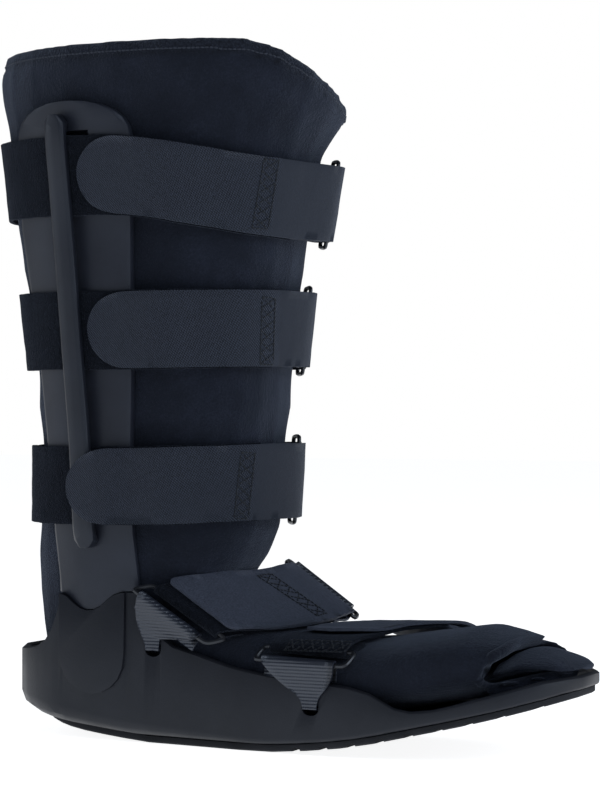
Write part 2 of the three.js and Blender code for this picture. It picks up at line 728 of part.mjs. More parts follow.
// Inner toe flap, folded over from the far side under the near flap
function makeToeFlap() {
  const columns = 8;
  const shares = Array.from({ length: columns + 1 }, (_, i) => -1 + (2 * i) / columns);
  return loft(toeFlapRows.map((row, i) => {
    const point = (u, drop) => vector(
      xAt(row.along),
      u * row.half * soleHalfWidth,
      bootHeight * (row.top - row.crown * Math.abs(u) ** 2.2) - drop,
    );
    const rowThickness = i < toeFlapRows.length - 2 ? toeFlapThickness : toeFlapThickness / 2;
    const drop = (u) => rowThickness * Math.min(1, 0.35 + 1.6 * (1 - Math.abs(u)));
    return [
      ...shares.map((u) => point(u, 0)),
      ...shares.slice().reverse().map((u) => point(u, drop(u))),
    ];
  }));
}

// Straps. A strap is drawn on a surface: at(run, rise, edge) is the place at a distance run along
// its middle line, a height rise above the surface and edge from -1 to 1 across it.
// Strip with a route of [run, rise] places; width gives the share of full width at a place.
function strapStrip(surface, route, width, thick) {
  return loft(route.map(([run, rise], i) => {
    const before = route[Math.max(i - 1, 0)];
    const after = route[Math.min(i + 1, route.length - 1)];
    const length = Math.hypot(after[0] - before[0], after[1] - before[1]);
    const dRun = (-(after[1] - before[1]) / length) * (thick / 2);
    const dRise = ((after[0] - before[0]) / length) * (thick / 2);
    const share = width(run, i);
    return [
      surface.at(run + dRun, rise + dRise, -share),
      surface.at(run + dRun, rise + dRise, share),
      surface.at(run - dRun, rise - dRise, share),
      surface.at(run - dRun, rise - dRise, -share),
    ];
  }));
}

// Half turn round a bar at [run, rise] from below it to above it; side 1 bulges forwards
function halfTurn(run, rise, radius, side) {
  const steps = 6;
  return Array.from({ length: steps + 1 }, (_, k) => {
    const turn = -Math.PI / 2 + Math.PI * (k / steps);
    return [run + side * radius * Math.cos(turn), rise + radius * Math.sin(turn)];
  });
}

function spread(from, to, longest) {
  const steps = Math.max(1, Math.ceil(Math.abs(to - from) / longest));
  return Array.from({ length: steps + 1 }, (_, i) => mix(from, to, i / steps));
}

// Shares of the way back from a strap's round end, and the width at a share of the way to the end
const endShares = [0.75, 0.5, 0.3, 0.14, 0.04, 0];
const roundWidth = (share) => Math.sqrt(1 - Math.min(share, 0.995) ** 2);

// Rounded rectangle of wire; bars holds the middles of its two long bars, with their directions
function rectangleRing(barA, barB, along, half) {
  const across = barB.clone().sub(barA);
  const normal = across.clone().cross(along).normalize();
  const corner = ringCorner;
  const cornerShare = corner / across.length();
  const path = [];
  const turns = 3;
  const corners = [
    [cornerShare, half - corner, -1, 1], [1 - cornerShare, half - corner, 1, 1],
    [1 - cornerShare, corner - half, 1, -1], [cornerShare, corner - half, -1, -1],
  ];
  corners.forEach(([share, rise, sideways, upwards], i) => {
    for (let k = 0; k <= turns; k += 1) {
      const turn = (Math.PI / 2) * (i % 2 === 0 ? k / turns : 1 - k / turns);
      path.push(barA.clone()
        .addScaledVector(across, share + sideways * cornerShare * Math.cos(turn))
        .addScaledVector(along, rise + upwards * corner * Math.sin(turn)));
    }
  });
  return wireRing(path, normal, wireRadius);
}

// Surface under a leg strap. run is measured from the ring's near bar, positive to the near side.
function legSurface(strap) {
  const level = strap.level * bootHeight;
  const middle = (uprightRear + uprightFront) / 2;
  const rest = (z, degrees) => {
    const share = Math.abs(legPoint(z, degrees, 0).x - middle) / legSection(z).depth;
    return mix(plateFace + gap, strapRest, smooth((share - 0.5) / 0.34));
  };
  const step = 2;
  const marks = [];
  let run = 0;
  let last = null;
  for (let degrees = ringAngle - 364; degrees <= ringAngle + 364; degrees += step) {
    const p = legPoint(level, degrees, rest(level, degrees));
    if (last) run += p.distanceTo(last);
    marks.push({ degrees, run, x: p.x });
    last = p;
  }
  const zero = marks.find((mark) => mark.degrees >= ringAngle).run;
  marks.forEach((mark) => { mark.run -= zero; });
  const read = (key, at) => {
    let i = 0;
    while (i < marks.length - 2 && marks[i + 1].run < at) i += 1;
    return mix(marks[i][key], marks[i + 1][key], (at - marks[i].run) / (marks[i + 1].run - marks[i].run));
  };
  const at = (place, rise, edge) => {
    const degrees = read('degrees', place);
    const drop = strap.frontDrop * bootHeight * smooth((read('x', place) / legHalfDepth + 0.05) / 1.1);
    const z = level - drop + (edge * legStrapWidth) / 2;
    return legPoint(z, degrees, rest(z, degrees) + rise);
  };
  const turnLength = marks.find((mark) => mark.degrees >= ringAngle + 360).run;
  return { at, turnLength, xOf: (place) => read('x', place) };
}

function makeLegStrap(strap) {
  const surface = legSurface(strap);
  const tabTurn = wireRadius + turnClearance + tabThickness / 2;
  const pileTurn = wireRadius + turnClearance + pileThickness / 2;
  const pileRise = pileThickness / 2;
  const layer = pileThickness + 1.4 * gap;
  const barRise = gap + pileThickness + turnClearance + wireRadius + strap.stand * ringDepth;

  // The band turns round the far bar and goes round the far side, the back and the near side
  const turnRun = -ringDepth;
  const bandEnd = tailRun + pileThickness - surface.turnLength;
  const band = strapStrip(surface, [
    [turnRun - 36, pileRise],
    [turnRun - 24, mix(pileRise, barRise - pileTurn, 0.3)],
    [turnRun - 8, mix(pileRise, barRise - pileTurn, 0.92)],
    ...halfTurn(turnRun, barRise, pileTurn, 1),
    [turnRun - 8, barRise + pileTurn],
    [turnRun - 24, mix(pileRise + layer, barRise + pileTurn, 0.6)],
    [turnRun - 38, pileRise + layer],
    [turnRun - 46, mix(pileRise, pileRise + layer, 0.4)],
    ...spread(turnRun - 56, bandEnd, 11).map((run) => [run, pileRise]),
  ], () => 1, pileThickness);

  // The tab comes up under the near bar, turns round it and lies back over the band
  let endRun = 2 * tailRun;
  while (surface.xOf(endRun) > strap.tabEnd * legHalfDepth) endRun += 0.5;
  const round = legStrapWidth / 2;
  const topRise = layer + tabThickness / 2;
  const overRise = (run) => {
    const share = strap.overBar * smooth((uprightFront - surface.xOf(run)) / (1.6 * barWidth));
    return topRise + share * (barThickness + 2.5 * gap);
  };
  const tailRise = tabThickness / 2;
  const outer = [...spread(26, endRun - round, 10), ...endShares.map((share) => endRun - round * share)];
  const tabRoute = [
    [tailRun, tailRise],
    [30, mix(tailRise, barRise - tabTurn, 0.15)],
    [18, mix(tailRise, barRise - tabTurn, 0.6)],
    [7, barRise - tabTurn],
    ...halfTurn(0, barRise, tabTurn, -1),
    [7, barRise + tabTurn],
    [16, mix(barRise + tabTurn, overRise(16), smooth(0.2))],
    ...outer.map((run) => [run, mix(barRise + tabTurn, overRise(run), smooth((run - 8) / 40))]),
  ];
  const firstOuter = tabRoute.length - outer.length;
  const tab = strapStrip(surface, tabRoute, (run, i) => {
    if (i < firstOuter || run < endRun - round) return 0.97;
    return 0.97 * roundWidth((run - endRun + round) / round);
  }, tabThickness);

  const bar = (run) => surface.at(run, barRise, 0);
  const along = surface.at(-ringDepth / 2, barRise, 1).sub(surface.at(-ringDepth / 2, barRise, -1)).normalize();
  return { band, tab, ring: rectangleRing(bar(0), bar(-ringDepth), along, legStrapWidth / 2 + ringSpare) };
}

// Surface under a foot strap, from the near ring's bar over the foot to the far one
function footSurface(strap) {
  const samples = 60;
  const first = strap.rows[0].side;
  const last = strap.rows[strap.rows.length - 1].side;
  const edgeAt = (side, x, up) => vector(
    xAt(column(strap.rows, 'side', x, side)),
    side * legHalfWidth,
    bootHeight * column(strap.rows, 'side', up, side),
  );
  const marks = [];
  let run = 0;
  for (let i = 0; i <= samples; i += 1) {
    const side = mix(first, last, i / samples);
    const rear = edgeAt(side, 'rear', 'rearUp');
    const front = edgeAt(side, 'front', 'frontUp');
    const p = rear.clone().lerp(front, 0.5);
    if (i > 0) run += p.distanceTo(marks[i - 1].p);
    marks.push({ run, p, across: front.sub(rear).normalize() });
  }
  const frame = (place) => {
    const t = clamp01(place / run) * samples;
    const i = Math.min(Math.floor(t), samples - 1);
    let k = i;
    while (k < samples - 1 && marks[k + 1].run < place) k += 1;
    while (k > 0 && marks[k].run > place) k -= 1;
    const share = (place - marks[k].run) / (marks[k + 1].run - marks[k].run);
    const p = marks[k].p.clone().lerp(marks[k + 1].p, share);
    const across = marks[k].across.clone().lerp(marks[k + 1].across, clamp01(share)).normalize();
    const before = marks[Math.max(k - 2, 0)].p;
    const after = marks[Math.min(k + 3, samples)].p;
    const normal = across.clone().cross(after.clone().sub(before)).normalize();
    if (normal.z < 0) normal.multiplyScalar(-1);
    return { p, across, normal };
  };
  const at = (place, rise, edge) => {
    const { p, across, normal } = frame(place);
    return p.addScaledVector(normal, rise).addScaledVector(across, (edge * footStrapWidth) / 2);
  };
  return { at, length: run, frame };
}

function makeFootStrap(strap) {
  const surface = footSurface(strap);
  const turn = wireRadius + footClearance + tabThickness / 2;
  const nearRun = footRingDepth;
  const farRun = surface.length - footRingDepth;
  const barRise = 1.3;
  const under = barRise - turn;
  const over = barRise + turn;
  const joinRun = farRun - 23;
  const base = strapStrip(surface, [
    [nearRun + 15, under],
    [nearRun + 5, under],
    ...halfTurn(nearRun, barRise, turn, -1),
    [nearRun + 5, over],
    [nearRun + 14, mix(0, over, 0.75)],
    [nearRun + 23, mix(0, over, 0.2)],
    ...spread(nearRun + 31, joinRun - 1, 9).map((run) => [run, 0]),
  ], () => 0.95, tabThickness);

  const layer = tabThickness + gap;
  const tabEnd = surface.length * (1 - strap.tabReach);
  const round = strap.roundTab ? footStrapWidth / 2 : 5;
  const outer = [
    ...spread(farRun - 23, tabEnd + round, 9),
    ...endShares.map((share) => tabEnd + round * share),
  ];
  const tabRoute = [
    [joinRun, 0],
    [farRun - 14, 0],
    [farRun - 5, under],
    ...halfTurn(farRun, barRise, turn, 1),
    [farRun - 5, over],
    [farRun - 14, mix(layer, over, 0.8)],
    ...outer.map((run) => {
      const lift = smooth((nearRun + 34 - run) / 22);
      return [run, layer + lift * (over + 0.2)];
    }),
  ];
  const firstOuter = tabRoute.length - outer.length;
  const tab = strapStrip(surface, tabRoute, (run, i) => {
    if (i < firstOuter || run > tabEnd + round) return 1;
    const full = roundWidth((tabEnd + round - run) / round);
    return strap.roundTab ? full : 1 - (2 * round * (1 - full)) / footStrapWidth;
  }, tabThickness);

  const ends = { near: [0, nearRun, strap.hole, -1], far: [surface.length, farRun, strap.farHole, 1] };
  const made = { base, tab, rings: {}, webbings: {} };
  for (const [side, [outerRun, innerRun, hole, sign]] of Object.entries(ends)) {
    const { p } = surface.frame(outerRun);
    const { across } = surface.frame((outerRun + innerRun) / 2);
    const bar = surface.at(innerRun, barRise, 0);
    made.rings[side] = rectangleRing(p, bar, across, footStrapWidth / 2 + ringSpare);
    made.webbings[side] = makeWebbing(p, across, hole, sign);
  }
  return made;
}

// Webbing folded over the ring's outer bar, which narrows on its way into the slot in the wall
function makeWebbing(middle, along, hole, sign) {
  const radius = wireRadius + footClearance + webbingThickness / 2;
  const holeX = xAt(hole.along);
  const holeZ = hole.up * bootHeight;
  const face = halfWidthAt(hole.along, 0) + gap + webbingThickness / 2;
  const outward = vector(0, sign, 0);
  const square = outward.clone().addScaledVector(along, -outward.dot(along)).normalize();
  const upward = along.clone().cross(square).normalize();
  if (upward.z < 0) upward.multiplyScalar(-1);
  const half = webbingWidth / 2;
  const thick = webbingThickness;
  const stations = [];
  const fold = (degrees, below) => {
    const turn = radians(degrees);
    const radial = square.clone().multiplyScalar(Math.cos(turn)).addScaledVector(upward, Math.sin(turn));
    const p = middle.clone().addScaledVector(radial, radius).addScaledVector(upward, -below);
    stations.push({ p, normal: radial, across: along, half, thick });
  };
  fold(180, webbingTail);
  for (const degrees of [180, 150, 120, 90, 60, 30, 0]) fold(degrees, 0);
  const leave = stations[stations.length - 1];
  const level = vector(1, 0, 0);
  const outside = vector(holeX, sign * face, holeZ + holeHeight / 2 + 3);
  for (const share of [0.25, 0.5, 0.75]) {
    stations.push({
      p: leave.p.clone().lerp(outside, share),
      normal: leave.normal.clone().lerp(outward, share).normalize(),
      across: along.clone().lerp(level, share * share).normalize(),
      half: mix(half, 0.6 * holeWidth, share ** 1.5),
      thick,
    });
  }
  const corner = vector(holeX, sign * (face - gap / 2), holeZ + 0.5);
  const inside = vector(holeX, sign * (face - shellWall), holeZ);
  const slanted = outward.clone().add(vector(0, 0, -1)).normalize();
  const narrow = 0.4 * holeWidth;
  stations.push({ p: outside, normal: outward, across: level, half: 0.5 * holeWidth, thick });
  stations.push({ p: corner, normal: slanted, across: level, half: narrow, thick });
  stations.push({ p: inside, normal: vector(0, 0, -1), across: level, half: narrow, thick });
  return ribbon(stations);
}

add('shell', makeShell(), colours.shell, 0.55);
add('tread', makeTread(), colours.tread, 0.85);
const upright = makeUpright();
add('upright_near', upright, colours.upright, 0.5);
add('upright_far', mirrored(upright), colours.upright, 0.5);
const bar = makeBar();
add('keeper_bar_near', bar, colours.bar, 0.5);
add('keeper_bar_far', mirrored(bar), colours.bar, 0.5);
add('liner', makeLiner(), colours.liner, 0.95);
add('toe_flap', makeToeFlap(), colours.liner, 0.95);
for (const strap of legStraps) {
  const pieces = makeLegStrap(strap);
  add(`${strap.name}_band`, pieces.band, colours.pile, 1);
  add(`${strap.name}_tab`, pieces.tab, colours.tab, 0.8);
  add(`${strap.name}_ring`, pieces.ring, colours.metal, 0.35, 0.6);
}
for (const strap of footStraps) {
  const pieces = makeFootStrap(strap);
  add(`${strap.name}_strap`, pieces.base, colours.pile, 1);
  add(`${strap.name}_tab`, pieces.tab, colours.tab, 0.8);
  for (const side of ['near', 'far']) {
    add(`${strap.name}_ring_${side}`, pieces.rings[side], colours.metal, 0.35, 0.6);
    add(`${strap.name}_webbing_${side}`, pieces.webbings[side], colours.webbing, 0.8);
  }
}

// The origin is under the middle of the whole boot
const box = new THREE.Box3().setFromObject(group);
group.position.x = -(box.min.x + box.max.x) / 2;
group.position.y = -(box.min.y + box.max.y) / 2;
group.position.z = -box.min.z;

export default group;
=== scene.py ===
"""Looks of a medical walking boot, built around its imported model.

Metres, toe towards +X, near side -Y, +Z up.
"""
import bisect
import math

import bmesh
import bpy
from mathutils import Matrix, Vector, noise
from mathutils.bvhtree import BVHTree
from mathutils.kdtree import KDTree


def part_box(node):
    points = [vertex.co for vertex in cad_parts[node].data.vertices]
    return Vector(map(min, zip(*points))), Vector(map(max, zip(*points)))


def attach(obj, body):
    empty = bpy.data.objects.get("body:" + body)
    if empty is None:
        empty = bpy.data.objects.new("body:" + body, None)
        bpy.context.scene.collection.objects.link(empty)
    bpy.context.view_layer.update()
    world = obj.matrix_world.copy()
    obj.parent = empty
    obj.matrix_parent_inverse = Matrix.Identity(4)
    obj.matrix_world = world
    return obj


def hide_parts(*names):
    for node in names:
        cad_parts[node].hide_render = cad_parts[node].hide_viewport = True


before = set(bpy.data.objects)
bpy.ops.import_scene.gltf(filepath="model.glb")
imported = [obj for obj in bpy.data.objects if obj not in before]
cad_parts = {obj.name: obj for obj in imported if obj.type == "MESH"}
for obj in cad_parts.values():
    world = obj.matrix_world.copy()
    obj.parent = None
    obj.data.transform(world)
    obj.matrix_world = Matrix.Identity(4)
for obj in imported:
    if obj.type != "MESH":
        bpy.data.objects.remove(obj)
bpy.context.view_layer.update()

# Names of the repeated pieces
LEG_STRAPS = ("upper", "middle", "lower")
FOOT_STRAPS = ("instep", "forefoot")
SIDES = ("near", "far")
X_AXIS = 0
Z_AXIS = 2

# Camera, as the outlines of the boot give it
PICTURE_WIDTH = 600
PICTURE_HEIGHT = 790
FOCAL_PIXELS = 2520
CAMERA_AZIMUTH = math.radians(25)
CAMERA_PLACE = Vector((0.6234, -1.3255, 0.201))
SENSOR_HEIGHT = 24
FORWARD = Vector((-math.sin(CAMERA_AZIMUTH), math.cos(CAMERA_AZIMUTH), 0))
RIGHT = Vector((math.cos(CAMERA_AZIMUTH), math.sin(CAMERA_AZIMUTH), 0))
UP = Vector((0, 0, 1))

# Light
AMBIENT = 0.13
AMBIENT_TINT = (0.84, 0.91, 1, 1)
LIGHT_TINT = (0.86, 0.92, 1)
WHITE = (1, 1, 1, 1)
# Name, place, target, width and height, power in watts
LIGHTS = (
    ("key", (1.1, -1.3, 1.5), (0, 0, 0.2), (1.0, 1.0), 11),
    ("front", (1.7, 0.2, 0.7), (0, 0, 0.15), (0.7, 1.0), 10),
    ("back", (-1.5, -0.6, 0.9), (0, 0, 0.2), (0.5, 1.2), 5),
)
FLOOR_GLOW = 0.88
FLOOR_HALF = 6
FLOOR_DROP = 0.0002

# Colours of each material from dark to light, in sRGB from 0 to 255
SHELL_COLOURS = ((15, 17, 23), (23, 25, 32))
UPRIGHT_COLOURS = ((24, 27, 36), (33, 37, 47))
KEEPER_COLOURS = ((23, 26, 34), (31, 35, 44))
RUBBER_COLOURS = ((24, 25, 28), (37, 38, 42))
WIRE_COLOURS = ((15, 16, 19), (27, 28, 33))
FELT_COLOURS = ((14, 17, 25), (22, 26, 36), (38, 43, 57))
SEAM_COLOURS = ((9, 10, 14), (15, 17, 23))
PILE_COLOURS = ((9, 11, 15), (17, 20, 27), (31, 35, 44))
LEG_TAPE_COLOURS = ((13, 16, 22), (42, 48, 62))
LEG_TAPE_END_COLOURS = ((20, 24, 33), (30, 35, 46))
FOOT_TAPE_COLOURS = ((30, 34, 43), (66, 72, 88))
WEBBING_COLOURS = ((22, 25, 33), (36, 41, 53))
TAB_THREAD_COLOURS = ((4, 5, 7), (11, 12, 16))
LINER_THREAD_COLOURS = ((26, 29, 38), (44, 49, 61))
FLOOR_COLOURS = ((246, 246, 247), (250, 250, 250))
# The binding's loops, from painted light on their middles to painted shade in the gaps between them
PAINTED_LOOP_SHADING = ((38, 42, 54), (26, 30, 39), (15, 17, 24))
SHEEN_TINT = (0.62, 0.74, 1, 1)
SHEEN_ROUGHNESS = 0.4
GLOSS_TINT = (0.8, 0.88, 1, 1)

# Meshes: distances in metres, angles in degrees
WELD_DISTANCE = 2e-5
PAIR_FACE_ANGLE = 30
PAIR_SHAPE_ANGLE = 120
RIGID_CREASE = 28
STRAP_CREASE = 50
TOE_FLAP_CREASE = 70
SHARP_ANGLE = 38
BEVEL_ANGLE = 35
BEVEL_SEGMENTS = 2
STRAP_BEVEL = 0.0004
CLOTH_LEVELS = 3
# Straps' unevenness: cells of noise per metre, coarse and fine, and the fine noise's share
WOBBLE_COARSE = 55
WOBBLE_FINE = 160
WOBBLE_FINE_SHARE = 0.5

# Liner: a name that ends in WAVES gives cells of noise per metre
VOXEL = 0.0026
RELAX_SHARE = 0.5
RELAX_ROUNDS = 5
BINDING_WIDTH = 0.0068
BINDING_RAISE = 0.0009
BINDING_FADE = 0.0012
SEAM_WIDTH = 0.0011
SEAM_DEPTH = 0.0009
PUFF = 0.0022
PUFF_EVEN_SHARE = 0.55
PUFF_WAVES = 22
PUFF_START = 0.05
DENT = 0.0007
DENT_WAVES = 60
DENT_UNDER_STRAP = 0.25
STRAP_REACH = 0.03
TOE_FLAP_DENT = 0.0006

# Rim of the liner: which faces belong to it, and places along each of their edges
RIM_LEVELNESS = 0.6
RIM_DEPTH = 0.05
RIM_EDGE_STEPS = 12

# Row of stitches below the rim, found by rays from outside
RIM_ANGLE_STEP = 2
RIM_SEARCH_START = 0.3
RIM_SEARCH_STEPS = 48
RIM_SEARCH_RISE = 0.001
RIM_MISS = 0.0012
RIM_OUTWARD_SHARE = 0.3
LONGEST_RIM_STEP = 0.008

# Thread, lifted off the cloth by shares of its radius
THREAD_RADIUS = 0.00042
THREAD_LIFT = 0.5
RIM_THREAD_LIFT = 0.4
STITCH_LENGTH = 0.0022
STITCH_STEP = 0.0026
STITCH_SIDES = 6
# Share of a stitch's length, share of the thread's radius there
STITCH_SECTIONS = ((0.0, 0.35), (0.2, 1.0), (0.8, 1.0), (1.0, 0.35))
SHORTEST_RUN = 1e-9
CROSSES = 6
PICTURE_LINE_STEPS = 24
PLAIN_EDGE = 0.002

# Corners of the crossed stitch boxes on the straps, in the picture's pixels
STITCH_BOXES = {
    "upper_tab": ((264, 159), (279, 160), (268, 229), (252, 228)),
    "middle_tab": ((262, 297), (275, 298), (273, 365), (260, 364)),
    "lower_tab": ((241, 452), (255, 453), (248, 519), (234, 518)),
    "instep_tab": ((257, 576), (271, 574), (327, 613), (317, 616)),
    "forefoot_strap": ((292, 640), (284, 650), (344, 652), (352, 642)),
}

# Rolled edges round the toe, along lines of the picture in its pixels
TOE_LOWER_LINE = ((486, 690), (505, 688), (530, 683), (556, 677), (580, 671))
NEAR_FLAP_LINE = ((524, 636), (508, 646), (496, 655), (486, 666), (480, 678), (480, 690))
TOE_ROLL_RADIUS = 0.0042
TOE_ROLL_SINK = 0.0
FLAP_ROLL_RADIUS = 0.0032
FLAP_ROLL_SINK = 0.6
ROLL_LINE_STEPS = 8
ROLL_SMOOTHINGS = 6
ROLL_SIDES = 16
ROLL_END_POWER = 6
ROLL_END_SHARE = 0.02
ROLL_DENT = 0.0005
ROLL_WAVES = 70


def linear(red, green, blue):
    """Scene colour of an sRGB colour given from 0 to 255"""
    def channel(value):
        share = value / 255
        return share / 12.92 if share <= 0.04045 else ((share + 0.055) / 1.055) ** 2.4
    return (channel(red), channel(green), channel(blue), 1)


def smooth(value):
    """0 below 0 and 1 above 1, with a soft rise between them"""
    share = min(1, max(0, value))
    return share * share * (3 - 2 * share)


class Finish:
    """A material's nodes, made one by one"""

    def __init__(self, name, roughness, sheen=0.0, specular=0.5):
        self.material = bpy.data.materials.new(name)
        self.material.use_nodes = True
        self.tree = self.material.node_tree
        self.shader = self.tree.nodes["Principled BSDF"]
        self.shader.inputs["Roughness"].default_value = roughness
        self.shader.inputs["Sheen Weight"].default_value = sheen
        self.shader.inputs["Sheen Roughness"].default_value = SHEEN_ROUGHNESS
        self.shader.inputs["Sheen Tint"].default_value = SHEEN_TINT
        self.shader.inputs["Specular Tint"].default_value = GLOSS_TINT
        self.shader.inputs["Specular IOR Level"].default_value = specular
        self.place = self.node("ShaderNodeTexCoord").outputs["Object"]
        self.relief = None

    def node(self, kind, **values):
        made = self.tree.nodes.new(kind)
        for key, value in values.items():
            setattr(made, key, value)
        return made

    def link(self, start, end):
        self.tree.links.new(start, end)

    def math(self, operation, first, second=None):
        """Result of an operation on sockets or numbers"""
        made = self.node("ShaderNodeMath", operation=operation)
        for socket, value in zip(made.inputs, (first, second)):
            if value is None:
                continue
            if isinstance(value, (int, float)):
                socket.default_value = value
            else:
                self.link(value, socket)
        return made.outputs[0]

    def noise(self, scale, detail=3, roughness=0.6, stretch=None):
        """Cloudy noise, drawn out along the axes where stretch is given"""
        made = self.node("ShaderNodeTexNoise")
        made.inputs["Scale"].default_value = scale
        made.inputs["Detail"].default_value = detail
        made.inputs["Roughness"].default_value = roughness
        place = self.place
        if stretch:
            mapping = self.node("ShaderNodeMapping")
            mapping.inputs["Scale"].default_value = stretch
            self.link(place, mapping.inputs["Vector"])
            place = mapping.outputs["Vector"]
        self.link(place, made.inputs["Vector"])
        return made.outputs["Fac"]

    def cells(self, scale):
        """Distance to the nearest of many scattered points"""
        made = self.node("ShaderNodeTexVoronoi")
        made.inputs["Scale"].default_value = scale
        self.link(self.place, made.inputs["Vector"])
        return made.outputs["Distance"]

    def attribute(self, name):
        return self.node("ShaderNodeAttribute", attribute_name=name).outputs["Fac"]

    def cloth_place(self):
        """The two directions along the cloth, in metres"""
        made = self.node("ShaderNodeUVMap", uv_map="weave")
        parts = self.node("ShaderNodeSeparateXYZ")
        self.link(made.outputs["UV"], parts.inputs[0])
        return parts.outputs["X"], parts.outputs["Y"]

    def wave(self, value, pitch):
        """Sine wave that repeats every pitch metres"""
        turns = self.math("MULTIPLY", value, 2 * math.pi / pitch)
        return self.math("SINE", turns)

    def sum(self, first, first_share, second, second_share):
        """Two values added by their shares"""
        part = self.math("MULTIPLY", first, first_share)
        return self.math("ADD", part, self.math("MULTIPLY", second, second_share))

    def colours(self, factor, stops, colours):
        """Ramp with each colour at its stop"""
        ramp = self.node("ShaderNodeValToRGB")
        elements = ramp.color_ramp.elements
        while len(elements) < len(stops):
            elements.new(0.5)
        for element, stop, colour in zip(elements, stops, colours):
            element.position = stop
            element.color = linear(*colour)
        self.link(factor, ramp.inputs["Fac"])
        return ramp.outputs["Color"]

    def blend(self, factor, first, second):
        made = self.node("ShaderNodeMix", data_type="RGBA")
        self.link(factor, made.inputs["Factor"])
        self.link(first, made.inputs["A"])
        self.link(second, made.inputs["B"])
        return made.outputs["Result"]

    def base(self, colour):
        self.link(colour, self.shader.inputs["Base Color"])

    def rough(self, factor, low, high):
        """Roughness that follows a factor from low to high"""
        made = self.node("ShaderNodeMapRange")
        made.inputs["To Min"].default_value = low
        made.inputs["To Max"].default_value = high
        self.link(factor, made.inputs["Value"])
        self.link(made.outputs["Result"], self.shader.inputs["Roughness"])

    def bump(self, height, depth, strength):
        """Adds a layer of relief of a depth in metres"""
        made = self.node("ShaderNodeBump")
        made.inputs["Strength"].default_value = strength
        made.inputs["Distance"].default_value = depth
        self.link(height, made.inputs["Height"])
        if self.relief:
            self.link(self.relief, made.inputs["Normal"])
        self.relief = made.outputs["Normal"]
        self.link(self.relief, self.shader.inputs["Normal"])


def moulded(name, colours, roughness, grain):
    """Moulded plastic: fine pebble grain, cloudy gloss and faint scuffs"""
    finish = Finish(name, roughness, specular=0.3)
    cloud = finish.noise(scale=24, detail=4)
    finish.base(finish.colours(cloud, (0.3, 0.72), colours))
    gloss = finish.noise(scale=60, detail=5)
    finish.rough(gloss, roughness - 0.08, roughness + 0.1)
    finish.bump(finish.noise(grain, detail=2), depth=0.00012, strength=0.55)
    scuffs = finish.noise(scale=90, detail=4, roughness=0.7, stretch=(0.35, 1, 2.4))
    finish.bump(scuffs, depth=0.00008, strength=0.35)
    return finish.material


def felt():
    """Brushed felt of the liner, with a looped binding along its edge whose loops carry painted light and
    shade
    """
    finish = Finish("liner_felt", 0.95, sheen=0.22, specular=0.15)
    fibre = finish.noise(scale=900, detail=3, roughness=0.8)
    patches = finish.noise(scale=38, detail=5, roughness=0.62)
    mottle = finish.sum(patches, 0.45, fibre, 0.55)
    plain = finish.colours(mottle, (0.32, 0.52, 0.74), FELT_COLOURS)
    # Painted light on the middles of the binding's loops and painted shade in the gaps between them
    loops = finish.cells(900)
    loops_with_painted_shade = finish.colours(loops, (0.0, 0.45, 0.9), PAINTED_LOOP_SHADING)
    binding = finish.attribute("binding")
    edged = finish.blend(binding, plain, loops_with_painted_shade)
    seam = finish.attribute("seam")
    dark = finish.colours(mottle, (0.2, 0.8), SEAM_COLOURS)
    finish.base(finish.blend(finish.math("MULTIPLY", seam, 0.8), edged, dark))
    finish.bump(finish.noise(scale=130, detail=4, roughness=0.7), depth=0.0012, strength=0.45)
    finish.bump(finish.noise(scale=760, detail=4, roughness=0.75), depth=0.0009, strength=0.9)
    finish.bump(finish.math("MULTIPLY", loops, binding), depth=-0.0006, strength=0.6)
    return finish.material


def pile():
    """Loop pile of the bands: dull, dark and fuzzy"""
    finish = Finish("strap_pile", 1.0, sheen=0.1, specular=0.05)
    fuzz = finish.noise(scale=520, detail=5, roughness=0.75)
    finish.base(finish.colours(fuzz, (0.28, 0.55, 0.8), PILE_COLOURS))
    finish.bump(finish.cells(1300), depth=-0.0006, strength=0.8)
    finish.bump(fuzz, depth=0.0008, strength=0.8)
    return finish.material


def woven(name, colours, pitch, weave, end_colours=None):
    """Tape with a fine slanting twill, brushed plain in front of its stitches where end_colours are given"""
    finish = Finish(name, 0.72, sheen=0.12, specular=0.3)
    along, across = finish.cloth_place()
    twill = finish.wave(finish.math("ADD", along, across), pitch)
    slant = finish.math("SUBTRACT", along, finish.math("MULTIPLY", across, 0.4))
    rib = finish.wave(slant, pitch * 0.8)
    threads = finish.sum(twill, 0.6, rib, 0.4)
    fuzz = finish.noise(scale=900, detail=3, roughness=0.75)
    lifted = finish.math("ADD", finish.math("MULTIPLY", threads, 0.42 * weave), fuzz)
    surface = finish.colours(lifted, (0.2, 0.8), colours)
    if end_colours:
        brushed = finish.colours(fuzz, (0.3, 0.75), end_colours)
        plain = finish.attribute("plain")
        surface = finish.blend(plain, surface, brushed)
        threads = finish.math("MULTIPLY", threads, finish.math("SUBTRACT", 1.0, plain))
    finish.base(surface)
    finish.bump(threads, depth=0.0004, strength=0.9 * weave)
    finish.bump(fuzz, depth=0.0005, strength=0.5)
    finish.bump(finish.noise(scale=160), depth=0.0006, strength=0.25)
    return finish.material


def ribbed(name, colours, pitch):
    """Shiny nylon webbing with ribs along the ring's bar"""
    finish = Finish(name, 0.34, specular=0.6)
    along, across = finish.cloth_place()
    ribs = finish.wave(across, pitch)
    threads = finish.wave(along, pitch * 0.55)
    mixed = finish.math("ADD", finish.sum(ribs, 0.12, threads, 0.08), 0.5)
    finish.base(finish.colours(mixed, (0.1, 0.9), colours))
    finish.bump(ribs, depth=0.0003, strength=0.45)
    finish.bump(threads, depth=0.0001, strength=0.3)
    finish.bump(finish.noise(scale=70), depth=0.0012, strength=0.35)
    return finish.material


def rubber():
    """Dull rubber of the tread"""
    finish = Finish("tread_rubber", 0.82, specular=0.25)
    finish.base(finish.colours(finish.noise(scale=45, detail=5), (0.3, 0.75), RUBBER_COLOURS))
    finish.bump(finish.noise(scale=900), depth=0.00018, strength=0.6)
    return finish.material


